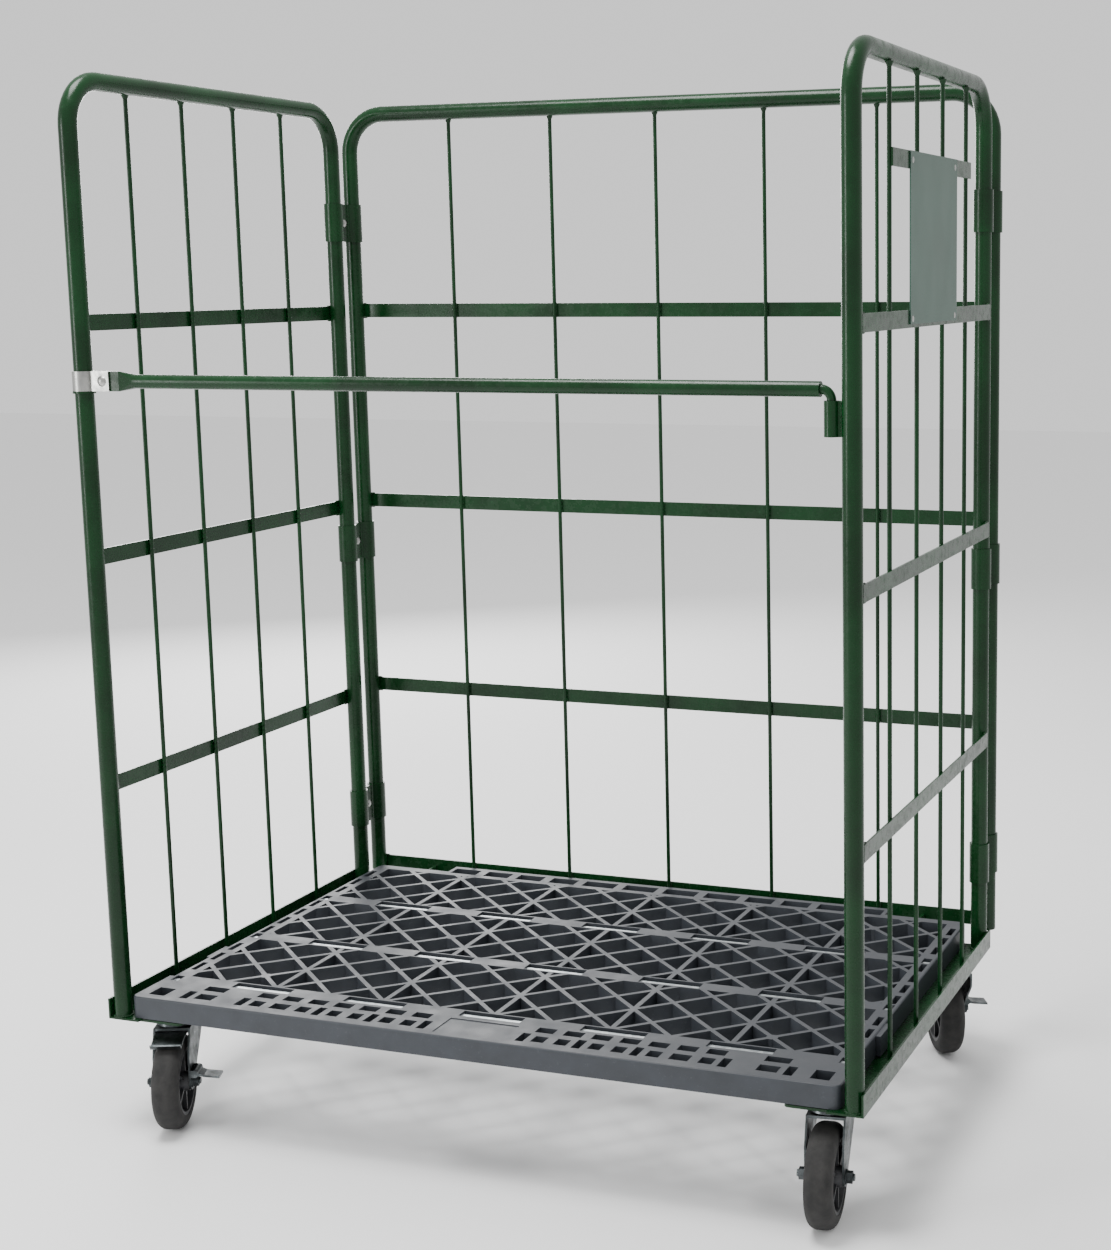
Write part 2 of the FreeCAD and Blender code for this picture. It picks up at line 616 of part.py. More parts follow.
def soft_slab(half_w, y0, y1, square_y):
    """Slab with a rounded upper rim and round corners, except along the edge at square_y."""
    body = box(-half_w, half_w, y0, y1, DECK_Z0, DECK_Z1)
    corners = [e for e in body.Edges
               if e.BoundBox.ZLength > DECK_T - 0.1 and abs(e.BoundBox.YMin - square_y) > 1]
    body = body.makeFillet(DECK_CORNER_R, corners)
    rim = [e for e in body.Edges
           if e.BoundBox.ZMin > DECK_Z1 - 0.1
           and (abs(e.BoundBox.YMin - square_y) > 1 or abs(e.BoundBox.YMax - square_y) > 1)]
    return body.makeFillet(DECK_EDGE_R, rim)


def deck_outline():
    lap_y = DECK_HEAD_REAR_Y - DECK_CORNER_R
    body = soft_slab(DECK_HALF_W, lap_y, DECK_REAR_Y, lap_y)
    head = soft_slab(DECK_HEAD_HALF_W, DECK_FRONT_Y, DECK_HEAD_REAR_Y, DECK_HEAD_REAR_Y)
    body = body.fuse(head)
    tail = box(-TAIL_HALF_W, TAIL_HALF_W, DECK_REAR_Y - DECK_EDGE_R * 2, TAIL_REAR_Y, DECK_Z0, DECK_Z1)
    pieces = [tail]
    for s in (-1, 1):
        x0 = s * (DECK_HALF_W - 1)
        x1 = s * (DECK_HALF_W + DECK_NUB_OUT)
        pieces.append(box(min(x0, x1), max(x0, x1), DECK_NUB_Y - DECK_NUB_LEN / 2,
                          DECK_NUB_Y + DECK_NUB_LEN / 2, DECK_Z0 + 2, DECK_Z1 - 2))
        for lug_x in LUG_XS:
            pieces.append(deck_lug(s * lug_x))
    return body.fuse(pieces)


def deck_lug(x):
    x0 = x - LUG_W / 2
    eye = Part.makeCylinder(LUG_R, LUG_W, V(x0, DECK_PIN_Y, DECK_PIN_Z), V(1, 0, 0))
    root = box(x0, x0 + LUG_W, DECK_REAR_Y - DECK_EDGE_R * 2, DECK_PIN_Y,
               DECK_PIN_Z - LUG_R, DECK_PIN_Z + LUG_R)
    return eye.fuse(root)


def band_openings():
    """Everything between the ribs of the three lattice bands, as one cutter a band."""
    cutters = []
    inner = BORDER_X - BORDER_RIB_T / 2
    for y0, y1 in BAND_LIMITS:
        field = box(-inner, inner, y0, y1, DECK_Z0 - 1, DECK_Z1 + 1)
        cutters.append(field.cut(lattice_ribs(y0 - 1, y1 + 1)))
    return cutters


def small_openings():
    cutters = []
    for x0, x1 in TAIL_WINDOWS:
        cutters += both_sides(x0, x1, TAIL_WINDOW_Y0, TAIL_WINDOW_Y1)
    for i in range(FRONT_ROW1_COUNT):
        x0 = FRONT_ROW1_START + i * FRONT_ROW1_PITCH
        cutters += both_sides(x0, x0 + FRONT_ROW1_W, *FRONT_ROW1_Y)
    cutters += both_sides(*FRONT_ROW1_OUTER, *FRONT_ROW1_Y)
    for x0, x1 in FRONT_ROW2:
        cutters += both_sides(x0, x1, *FRONT_ROW2_Y)
    for x0, x1 in FRONT_TALL:
        cutters += both_sides(x0, x1, *FRONT_TALL_Y)
    for (y0, y1), count in zip(BAND_LIMITS, EDGE_SLOT_COUNTS):
        middle = (y0 + y1) / 2
        for i in range(count):
            y = middle + (i - (count - 1) / 2) * EDGE_SLOT_PITCH
            cutters += both_sides(EDGE_SLOT_X0, EDGE_SLOT_X1, y - EDGE_SLOT_LEN / 2, y + EDGE_SLOT_LEN / 2)
    return cutters


def beam_pockets():
    """Channel for each steel beam along the front of its windows, which go right through the deck."""
    cutters = []
    roof = DECK_Z1 - BEAM_TOP_DROP
    for y0, y1 in BEAM_SLOT_YS:
        cutters.append(box(-BEAM_HALF_LEN - BEAM_CLEAR, BEAM_HALF_LEN + BEAM_CLEAR,
                           y0, y0 + BEAM_W + 2 * BEAM_CLEAR, roof - BEAM_H, roof))
        for x0, x1 in beam_windows_x():
            cutters.append(slab(x0, x1, y0, y1))
    return cutters


def deck_beam(slot_y):
    y = slot_y + BEAM_CLEAR
    top = DECK_Z1 - BEAM_TOP_DROP
    outer = box(-BEAM_HALF_LEN, BEAM_HALF_LEN, y, y + BEAM_W, top - BEAM_H, top)
    inner = box(-BEAM_HALF_LEN, BEAM_HALF_LEN, y + BEAM_WALL, y + BEAM_W - BEAM_WALL,
                top - BEAM_H + BEAM_WALL, top - BEAM_WALL)
    return outer.cut(inner)


def deck():
    moulding = deck_outline()
    moulding = moulding.cut(band_openings() + small_openings())
    moulding = moulding.cut(beam_pockets())
    moulding = moulding.cut(box(-LABEL_HALF_W, LABEL_HALF_W, *LABEL_Y, DECK_Z1 - LABEL_DEPTH, DECK_Z1 + 1))
    pin_hole = DECK_PIN_R + DECK_PIN_CLEAR
    for s in (-1, 1):
        for lug_x in LUG_XS:
            x = s * lug_x
            moulding = moulding.cut(rod(pin_hole, V(x - LUG_W, DECK_PIN_Y, DECK_PIN_Z),
                                        V(x + LUG_W, DECK_PIN_Y, DECK_PIN_Z)))
    add("deck_moulding", moulding.removeSplitter())
    add("deck_beams", group([deck_beam(y) for y, _ in BEAM_SLOT_YS]))


def deck_hinge_brackets():
    """Eyes on the back panel's base rail that carry the two hinge pins."""
    brackets = []
    for s in (-1, 1):
        x0 = s * BRACKET_X - BRACKET_T / 2
        eye = Part.makeCylinder(BRACKET_R, BRACKET_T, V(x0, DECK_PIN_Y, DECK_PIN_Z), V(1, 0, 0))
        arm = box(x0, x0 + BRACKET_T, DECK_PIN_Y, BACK_Y + RAIL_IN,
                  DECK_PIN_Z - BRACKET_R, DECK_PIN_Z + BRACKET_R)
        bracket = joined([eye, arm])
        brackets.append(bracket.cut(rod(DECK_PIN_R, V(x0 - 1, DECK_PIN_Y, DECK_PIN_Z),
                                        V(x0 + BRACKET_T + 1, DECK_PIN_Y, DECK_PIN_Z))))
    pins = [rod(DECK_PIN_R, V(s * DECK_PIN_X0, DECK_PIN_Y, DECK_PIN_Z),
                V(s * DECK_PIN_X1, DECK_PIN_Y, DECK_PIN_Z)) for s in (-1, 1)]
    add("deck_hinge_brackets", group(brackets))
    add("deck_hinge_pins", group(pins))


# ---- placard ------------------------------------------------------------------------------------
def placard():
    x0 = POST_X + TUBE_R
    rail_z = rail_heights(TUBE_TOP_Z, RAIL_PITCH)[0]
    low_z = rail_z - RAIL_H / 2 + PLACARD_EDGE_UP
    top_z = TUBE_TOP_Z - PLACARD_TOP_DROP
    y0, y1 = PLACARD_Y
    plate = box(x0, x0 + PLACARD_T, y0, y1, low_z, top_z)
    wires = side_wire_ys()
    strip = box(POST_X + RAIL_IN, x0, wires[0] - WIRE_R, wires[-1] + STRIP_PAST_WIRE,
                top_z - RAIL_H, top_z)
    rivets = []
    for y in (y0 + PLACARD_RIVET_INSET_Y, y1 - PLACARD_RIVET_INSET_Y):
        for z in (rail_z, top_z - RAIL_H / 2):
            shank = rod(PLACARD_RIVET_R, V(POST_X + RAIL_IN, y, z), V(x0 + PLACARD_T, y, z))
            head = domed_head(PLACARD_RIVET_HEAD_R, PLACARD_RIVET_HEAD_H, V(x0 + PLACARD_T, y, z), V(1, 0, 0))
            rivets.append(joined([shank, head]))
    for rivet in rivets:
        plate = plate.cut(rivet)
        strip = strip.cut(rivet)
    rails = parts["right_side_rails"]
    parts["right_side_rails"] = group([solid.cut(rivets) for solid in rails.Solids])
    add("placard_plate", plate)
    add("placard_strip", strip)
    add("placard_rivets", group(rivets))


# ---- castors ------------------------------------------------------------------------------------
# Each castor is drawn about its own swivel axis, rolling along +Y with its wheel trailing at -Y.
def mount_plate(corner):
    x = swivel_place(corner)[0]
    plate = box(MOUNT_X0 - x, MOUNT_X1 - x, -MOUNT_HALF_Y, MOUNT_HALF_Y, RACE_TOP_Z, MOUNT_TOP_Z)
    corners = [e for e in plate.Edges if e.BoundBox.ZLength > MOUNT_T - 0.1]
    plate = plate.makeFillet(MOUNT_T * 2, corners)
    return plate.cut(Part.makeCylinder(KINGPIN_R, MOUNT_T, V(0, 0, RACE_TOP_Z)))


def upper_race():
    race = Part.makeCylinder(RACE_R, RACE_T, V(0, 0, RACE_LOW_Z))
    rim = [e for e in race.Edges
           if abs(e.BoundBox.XLength - 2 * RACE_R) < 0.1 and e.BoundBox.ZMax < RACE_TOP_Z - 1]
    race = race.makeFillet(RACE_T * 0.35, rim)
    return race.cut(Part.makeCylinder(KINGPIN_R, RACE_T, V(0, 0, RACE_LOW_Z)))


def kingpin():
    low = FORK_TOP_Z - FORK_PLATE_T - RACE_GAP
    shank = Part.makeCylinder(KINGPIN_R, MOUNT_TOP_Z - low, V(0, 0, low))
    head = Part.makeCone(KINGPIN_HEAD_R * 0.7, KINGPIN_HEAD_R, KINGPIN_HEAD_H, V(0, 0, low - KINGPIN_HEAD_H))
    return joined([shank, head])


def fork_leg(sign):
    """Pressed leg: broad under the crown, narrowing to a round foot at the axle."""
    x = sign * FORK_INNER
    top = FORK_TOP_Z
    foot = V(x, -TRAIL, WHEEL_R)
    points = [V(x, -FORK_TOP_HALF, top), V(x, FORK_TOP_HALF, top), V(x, FORK_TOP_HALF, top - FORK_KNEE_DROP),
              V(x, -TRAIL + FORK_FOOT_R, WHEEL_R), V(x, -TRAIL - FORK_FOOT_R, WHEEL_R),
              V(x, -TRAIL - FORK_FOOT_R, WHEEL_R + FORK_SHANK)]
    blade = prism(points, V(sign * FORK_T, 0, 0))
    disc = Part.makeCylinder(FORK_FOOT_R, FORK_T, foot, V(sign, 0, 0))
    return blade.fuse(disc)


def fork():
    plate = box(-FORK_INNER - FORK_T, FORK_INNER + FORK_T, -FORK_TOP_HALF, FORK_TOP_HALF,
                FORK_TOP_Z - FORK_PLATE_T, FORK_TOP_Z)
    crown = Part.makeCone(CROWN_R, CROWN_R - 4.0, CROWN_T, V(0, 0, FORK_TOP_Z))
    body = joined([plate, crown, fork_leg(-1), fork_leg(1)])
    bore = KINGPIN_R + KINGPIN_CLEAR
    body = body.cut(Part.makeCylinder(bore, CROWN_T + FORK_PLATE_T + 2, V(0, 0, FORK_TOP_Z - FORK_PLATE_T - 1)))
    outside = FORK_INNER + FORK_T + 1
    return body.cut(rod(AXLE_R, V(-outside, -TRAIL, WHEEL_R), V(outside, -TRAIL, WHEEL_R)))


def hex_nut(start, sign):
    points = [V(start, -TRAIL + NUT_R * math.cos(math.radians(60 * i)),
                WHEEL_R + NUT_R * math.sin(math.radians(60 * i))) for i in range(6)]
    return prism(points, V(sign * NUT_H, 0, 0))


def axle():
    """Bolt with its spacer sleeve between the legs, and a washer and a nut outside each leg."""
    face = FORK_INNER + FORK_T
    end = face + WASHER_T + NUT_H + AXLE_STUB
    bolt = rod(AXLE_R, V(-end, -TRAIL, WHEEL_R), V(end, -TRAIL, WHEEL_R))
    sleeve = rod(SLEEVE_R, V(-FORK_INNER, -TRAIL, WHEEL_R), V(FORK_INNER, -TRAIL, WHEEL_R))
    pieces = [bolt, sleeve]
    for s in (-1, 1):
        pieces.append(rod(WASHER_R, V(s * face, -TRAIL, WHEEL_R), V(s * (face + WASHER_T), -TRAIL, WHEEL_R)))
        pieces.append(hex_nut(s * (face + WASHER_T), s))
    return joined(pieces)


def turned(points):
    """Solid of revolution about the wheel's axle from (distance along the axle, radius) corners."""
    face = Part.Face(Part.makePolygon([V(a, -TRAIL, WHEEL_R + r) for a, r in points + points[:1]]))
    return face.revolve(V(0, -TRAIL, WHEEL_R), V(1, 0, 0), 360)


def hub():
    half = HUB_W / 2
    bore = SLEEVE_R + SLEEVE_CLEAR
    boss = FORK_INNER - SLEEVE_SIDE_GAP
    web = half - HUB_DISH
    rim_in = HUB_R - HUB_RIM_T
    body = turned([(-boss, bore), (boss, bore), (boss, HUB_BOSS_R), (web, HUB_BOSS_R + 2), (web, rim_in),
                   (half, rim_in + 2), (half, HUB_R), (-half, HUB_R), (-half, rim_in + 2), (-web, rim_in),
                   (-web, HUB_BOSS_R + 2), (-boss, HUB_BOSS_R)])
    ribs = []
    for i in range(HUB_SPOKES):
        angle = 360.0 / HUB_SPOKES * i
        rib = box(-half + 2, half - 2, -TRAIL - 2, -TRAIL + 2, WHEEL_R + HUB_BOSS_R, WHEEL_R + rim_in + 1)
        rib.rotate(V(0, -TRAIL, WHEEL_R), V(1, 0, 0), angle)
        ribs.append(rib)
    return joined([body] + ribs)


def tyre():
    half = TYRE_W / 2
    tread = WHEEL_R
    body = turned([(-half, HUB_R), (half, HUB_R), (half, tread), (-half, tread)])
    rim = [e for e in body.Edges if abs(e.BoundBox.ZLength - 2 * tread) < 0.1 and e.BoundBox.XLength < 0.1]
    return body.makeFillet(TYRE_SHOULDER_R, rim)


def brake_lever(sign):
    """Pressed pedal outside one leg, turning on a pin that lies along the leg."""
    x0 = FORK_INNER + FORK_T + LEVER_OFF
    z0 = WHEEL_R + LEVER_PIVOT_UP
    y0 = -TRAIL - LEVER_W / 2
    y1 = -TRAIL + LEVER_W / 2
    knuckle = rod(LEVER_PIVOT_R + LEVER_T, V(x0, y0, z0), V(x0, y1, z0))
    tab = prism([V(x0, y0, z0 + LEVER_T), V(x0 + LEVER_KNEE, y0, z0 - LEVER_T),
                 V(x0 + LEVER_LEN, y0, z0 - LEVER_T * 2), V(x0 + LEVER_LEN, y0, z0 - LEVER_T * 3),
                 V(x0 + LEVER_KNEE, y0, z0 - LEVER_T * 2), V(x0, y0, z0 - LEVER_T)], V(0, LEVER_W, 0))
    body = joined([knuckle, tab])
    body = body.cut(rod(LEVER_PIVOT_R + LEVER_CLEAR, V(x0, y0, z0), V(x0, y1, z0)))
    return body if sign > 0 else mirrored_x(body)


def brake_bracket(sign):
    """Two ears on the leg with the lever's pin, and the pin across the fork that carries the shoe."""
    leg = FORK_INNER + FORK_T
    x0 = leg + LEVER_OFF
    z0 = WHEEL_R + LEVER_PIVOT_UP
    r = LEVER_PIVOT_R + LEVER_T
    pieces = []
    for s in (-1, 1):
        near = -TRAIL + s * (LEVER_W / 2 + RACE_GAP)
        far = near + s * LEVER_T
        pieces.append(rod(r, V(x0, near, z0), V(x0, far, z0)))
        pieces.append(box(leg, x0, min(near, far), max(near, far), z0 - r, z0 + r))
    reach = LEVER_W / 2 + RACE_GAP + LEVER_T
    pieces.append(rod(LEVER_PIVOT_R, V(x0, -TRAIL - reach, z0), V(x0, -TRAIL + reach, z0)))
    body = joined(pieces)
    if sign < 0:
        body = mirrored_x(body)
    y, z = shoe_pin()
    return group([body, rod(SHOE_PIN_R, V(-FORK_INNER, y, z), V(FORK_INNER, y, z))])


def shoe_pin():
    return -TRAIL + SHOE_PIN_AHEAD, WHEEL_R + WHEEL_R + SHOE_PIN_GAP


def brake_shoe():
    """Curved pressed plate over the tyre, hung from the cross pin."""
    r0 = WHEEL_R + SHOE_GAP
    r1 = r0 + SHOE_T

    def at(r, degrees):
        a = math.radians(degrees)
        return V(-SHOE_HALF_W, -TRAIL - r * math.sin(a), WHEEL_R + r * math.cos(a))

    middle = (SHOE_FROM + SHOE_TO) / 2
    edges = [Part.Arc(at(r0, SHOE_FROM), at(r0, middle), at(r0, SHOE_TO)).toShape()]
    edges.append(Part.LineSegment(at(r0, SHOE_TO), at(r1, SHOE_TO)).toShape())
    edges.append(Part.Arc(at(r1, SHOE_TO), at(r1, middle), at(r1, SHOE_FROM)).toShape())
    edges.append(Part.LineSegment(at(r1, SHOE_FROM), at(r0, SHOE_FROM)).toShape())
    along = V(2 * SHOE_HALF_W, 0, 0)
    plate = Part.Face(Part.Wire(edges)).extrude(along)
    lip = prism([at(r0, SHOE_TO), at(r0 + SHOE_LIP, SHOE_TO + 1), at(r0 + SHOE_LIP, SHOE_TO - 1),
                 at(r0, SHOE_TO - 2)], along)
    y, z = shoe_pin()
    knuckle = rod(SHOE_KNUCKLE_R, V(-SHOE_HALF_W, y, z), V(SHOE_HALF_W, y, z))
    body = joined([plate, lip, knuckle])
    return body.cut(rod(SHOE_PIN_R + LEVER_CLEAR, V(-SHOE_HALF_W, y, z), V(SHOE_HALF_W, y, z)))


def swivel_place(corner):
    """Distance from the middle line to the corner's swivel axis, and its place front to back."""
    if corner.startswith("front"):
        return SWIVEL_FRONT_X, SWIVEL_FRONT_Y
    return SWIVEL_REAR_X, SWIVEL_REAR_Y


def place(shape, corner):
    """Turns a castor piece to its corner's heading and sets it on the swivel axis."""
    x, y = swivel_place(corner)
    moved = shape.copy()
    moved.rotate(V(0, 0, 0), V(0, 0, 1), SWIVEL_TURNS[corner])
    moved.translate(V(-x if corner.endswith("left") else x, y, 0))
    return moved


def fixed_place(shape, corner):
    """Sets a piece that doesn't swivel at its corner, mirrored on the left side."""
    x, y = swivel_place(corner)
    moved = shape.copy()
    moved.translate(V(x, y, 0))
    return mirrored_x(moved) if corner.endswith("left") else moved


def castors():
    for side in ("left", "right"):
        corners = ["front_" + side, "rear_" + side]
        add(side + "_castor_plates", group([fixed_place(mount_plate(c), c) for c in corners]))
        add(side + "_castor_races", group([fixed_place(upper_race(), c) for c in corners]))
        add(side + "_castor_kingpins", group([fixed_place(kingpin(), c) for c in corners]))
    for corner in SWIVEL_TURNS:
        add(corner + "_castor_fork", place(fork(), corner))
        add(corner + "_castor_axle", place(axle(), corner))
        add(corner + "_castor_hub", place(hub(), corner))
        add(corner + "_castor_tyre", place(tyre(), corner))
    for corner, sign in BRAKE_SIDES.items():
        add(corner + "_brake_bracket", place(brake_bracket(sign), corner))
        add(corner + "_brake_lever", place(brake_lever(sign), corner))
        add(corner + "_brake_shoe", place(brake_shoe(), corner))


def centre_on_footprint():
    """Slide everything so the origin is midway between the front wheels' and the back straps' extremes."""
    low = min(parts[c + "_castor_tyre"].optimalBoundingBox().YMin for c in SWIVEL_TURNS)
    high = parts["left_hinge_straps"].optimalBoundingBox().YMax
    for shape in parts.values():
        shape.translate(V(0, -(low + high) / 2, 0))
    return -(low + high) / 2


side_panel("left", -1)
side_panel("right", 1)
back_panel()
hinges("left", -1)
hinges("right", 1)
front_bar()
deck()
deck_hinge_brackets()
placard()
castors()
moved = centre_on_footprint()

os.makedirs("parts", exist_ok=True)
for node, shape in parts.items():
    shape.exportStep("parts/" + node + ".step")
print(len(parts), "nodes, moved", round(moved, 4), "mm in Y")
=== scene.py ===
import json
import math
import random

import bmesh
import bpy
from mathutils import Matrix, Vector


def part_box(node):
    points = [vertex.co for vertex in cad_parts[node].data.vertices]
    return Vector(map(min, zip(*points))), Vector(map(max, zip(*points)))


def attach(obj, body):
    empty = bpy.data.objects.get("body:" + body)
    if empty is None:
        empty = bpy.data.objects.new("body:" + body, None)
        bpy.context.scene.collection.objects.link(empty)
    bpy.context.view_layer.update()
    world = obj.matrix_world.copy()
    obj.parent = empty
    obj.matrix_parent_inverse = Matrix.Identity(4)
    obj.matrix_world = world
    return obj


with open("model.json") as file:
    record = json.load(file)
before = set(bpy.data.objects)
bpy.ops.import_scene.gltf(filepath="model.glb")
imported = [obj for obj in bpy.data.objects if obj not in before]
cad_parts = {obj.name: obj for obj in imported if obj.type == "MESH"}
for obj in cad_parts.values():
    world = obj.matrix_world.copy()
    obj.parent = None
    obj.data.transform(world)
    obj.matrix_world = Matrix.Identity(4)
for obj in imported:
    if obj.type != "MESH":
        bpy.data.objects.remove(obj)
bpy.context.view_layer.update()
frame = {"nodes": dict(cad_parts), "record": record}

chance = random.Random(838)

# Bent tube frames, wires, rails, base angles, straps, castor plates, front bar and its socket.
# Mild steel, welded, then powder coated dark green.
# The coat is glossy with a faint orange peel, a little thin and rubbed where hands and goods pass over it.


def linear(hex_colour):
    """sRGB hex to the linear values that the shader wants."""
    channels = [int(hex_colour[i:i + 2], 16) / 255 for i in (1, 3, 5)]
    return [c / 12.92 if c <= 0.04045 else ((c + 0.055) / 1.055) ** 2.4 for c in channels] + [1.0]


def node(tree, kind, settings=None, **links):
    """One node: settings are its properties or numbered sockets, links are sockets fed by other nodes."""
    made = tree.nodes.new(kind)
    for key, value in (settings or {}).items():
        if isinstance(key, str) and hasattr(made, key):
            setattr(made, key, value)
        else:
            made.inputs[key].default_value = value
    for key, source in links.items():
        tree.links.new(source, made.inputs[key.replace("_", " ")])
    return made


def start_material(name, roughness, metallic=0.0):
    made = bpy.data.materials.new(name)
    made.use_nodes = True
    shader = made.node_tree.nodes["Principled BSDF"]
    shader.inputs["Roughness"].default_value = roughness
    shader.inputs["Metallic"].default_value = metallic
    place = node(made.node_tree, "ShaderNodeTexCoord")
    return made, made.node_tree, shader, place.outputs["Object"]


def ramp(tree, source, stops):
    """A colour ramp fed by source; stops are (position, colour as four linear values)."""
    made = node(tree, "ShaderNodeValToRGB", Fac=source)
    band = made.color_ramp
    while len(band.elements) < len(stops):
        band.elements.new(0.5)
    for element, (position, colour) in zip(band.elements, stops):
        element.position = position
        element.color = colour
    return made


def grey(value):
    return (value, value, value, 1.0)


def mix_colour(tree, factor, low, high):
    """Blend of two colours; either may be four linear values or another node's output."""
    made = node(tree, "ShaderNodeMix", {"data_type": "RGBA"})
    for socket, value in ((made.inputs[0], factor), (made.inputs[6], low), (made.inputs[7], high)):
        if hasattr(value, "links"):
            tree.links.new(value, socket)
        else:
            socket.default_value = value
    return made.outputs[2]


def nodes_in(slot):
    """Names of the frame's nodes that share a material slot."""
    return [s["node"] for s in frame["record"]["subparts"] if s["material_slot"] == slot]


def finish_with(names, made):
    for name in names:
        frame["nodes"][name].data.materials.clear()
        frame["nodes"][name].data.materials.append(made)


powder_green, tree, shader, place = start_material("powder_coat_green", 0.24)
tone = node(tree, "ShaderNodeTexNoise", {"Scale": 9.0, "Detail": 4.0}, Vector=place)
shade = ramp(tree, tone.outputs["Fac"], [(0.35, linear("#04240c")), (0.65, linear("#083315"))])
rub = node(tree, "ShaderNodeTexNoise", {"Scale": 75.0, "Detail": 6.0, "Roughness": 0.7}, Vector=place)
rubbed = ramp(tree, rub.outputs["Fac"], [(0.66, grey(0.0)), (0.76, grey(0.8))])
coat_colour = mix_colour(tree, rubbed.outputs["Color"], shade.outputs["Color"], linear("#1a4a2a"))
tree.links.new(coat_colour, shader.inputs["Base Color"])
gloss = ramp(tree, rub.outputs["Fac"], [(0.45, grey(0.22)), (0.75, grey(0.45))])
tree.links.new(gloss.outputs["Color"], shader.inputs["Roughness"])
# Orange peel: ripples about 2 mm across.
peel = node(tree, "ShaderNodeTexNoise", {"Scale": 420.0, "Detail": 2.0}, Vector=place)
bump = node(tree, "ShaderNodeBump", {"Strength": 0.07, "Distance": 0.001}, Height=peel.outputs["Fac"])
tree.links.new(bump.outputs["Normal"], shader.inputs["Normal"])
shader.inputs["Specular IOR Level"].default_value = 0.24

finish_with(nodes_in("green_paint"), powder_green)

# Weld spots where the wires cross the flat rails: resistance welds that swell a little under the coat.
# Beads of MIG weld sit where rails meet the posts and round the foot of each post.


def ellipsoid(bm, centre, radii, turn=None):
    """A slightly lumpy oval bead added to bm."""
    rough = 0.08
    made = bmesh.ops.create_icosphere(bm, subdivisions=2, radius=1.0)["verts"]
    matrix = Matrix.Translation(centre) @ (turn or Matrix()) @ Matrix.Diagonal((*radii, 1.0))
    for vertex in made:
        vertex.co = matrix @ (vertex.co * (1 + rough * chance.uniform(-1, 1)))


def piece(name, bm, material, body):
    """Turns bm into an object that rides on a body of the frame."""
    mesh = bpy.data.meshes.new(name)
    bm.to_mesh(mesh)
    bm.free()
    for face in mesh.polygons:
        face.use_smooth = True
    made = bpy.data.objects.new(name, mesh)
    bpy.context.scene.collection.objects.link(made)
    mesh.materials.append(material)
    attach(made, body)
    return made


def bead_row(bm, start, end, radius, spacing):
    """A run of overlapping beads from start to end, as a welder lays them."""
    run = Vector(end) - Vector(start)
    count = max(2, round(run.length / spacing))
    for i in range(count):
        centre = Vector(start) + run * (i / (count - 1))
        size = radius * chance.uniform(0.85, 1.1)
        ellipsoid(bm, centre, (size, size, size))


def bead_ring(bm, centre, ring_radius, radius, count, start=0.0, end=360.0):
    """A round of beads about a vertical axis."""
    for i in range(count):
        angle = math.radians(start + (end - start) * i / count)
        spot = Vector(centre) + Vector((math.cos(angle), math.sin(angle), 0)) * ring_radius
        size = radius * chance.uniform(0.8, 1.1)
        ellipsoid(bm, spot, (size, size, size))


def islands(name):
    """Boxes of the separate solids in a CAD node, each as (low corner, high corner)."""
    mesh = frame["nodes"][name].data
    owner = list(range(len(mesh.vertices)))

    def root(i):
        while owner[i] != i:
            owner[i] = owner[owner[i]]
            i = owner[i]
        return i

    for edge in mesh.edges:
        a, b = root(edge.vertices[0]), root(edge.vertices[1])
        if a != b:
            owner[a] = b
    groups = {}
    for vertex in mesh.vertices:
        groups.setdefault(root(vertex.index), []).append(vertex.co)
    boxes = []
    for points in groups.values():
        low = Vector([min(p[i] for p in points) for i in range(3)])
        high = Vector([max(p[i] for p in points) for i in range(3)])
        boxes.append((low, high))
    merged = []
    for low, high in sorted(boxes, key=lambda b: tuple(b[0])):
        for other in merged:
            if all(low[i] <= other[1][i] + 1e-5 and high[i] >= other[0][i] - 1e-5 for i in range(3)):
                for i in range(3):
                    other[0][i] = min(low[i], other[0][i])
                    other[1][i] = max(high[i], other[1][i])
                break
        else:
            merged.append((low.copy(), high.copy()))
    return merged


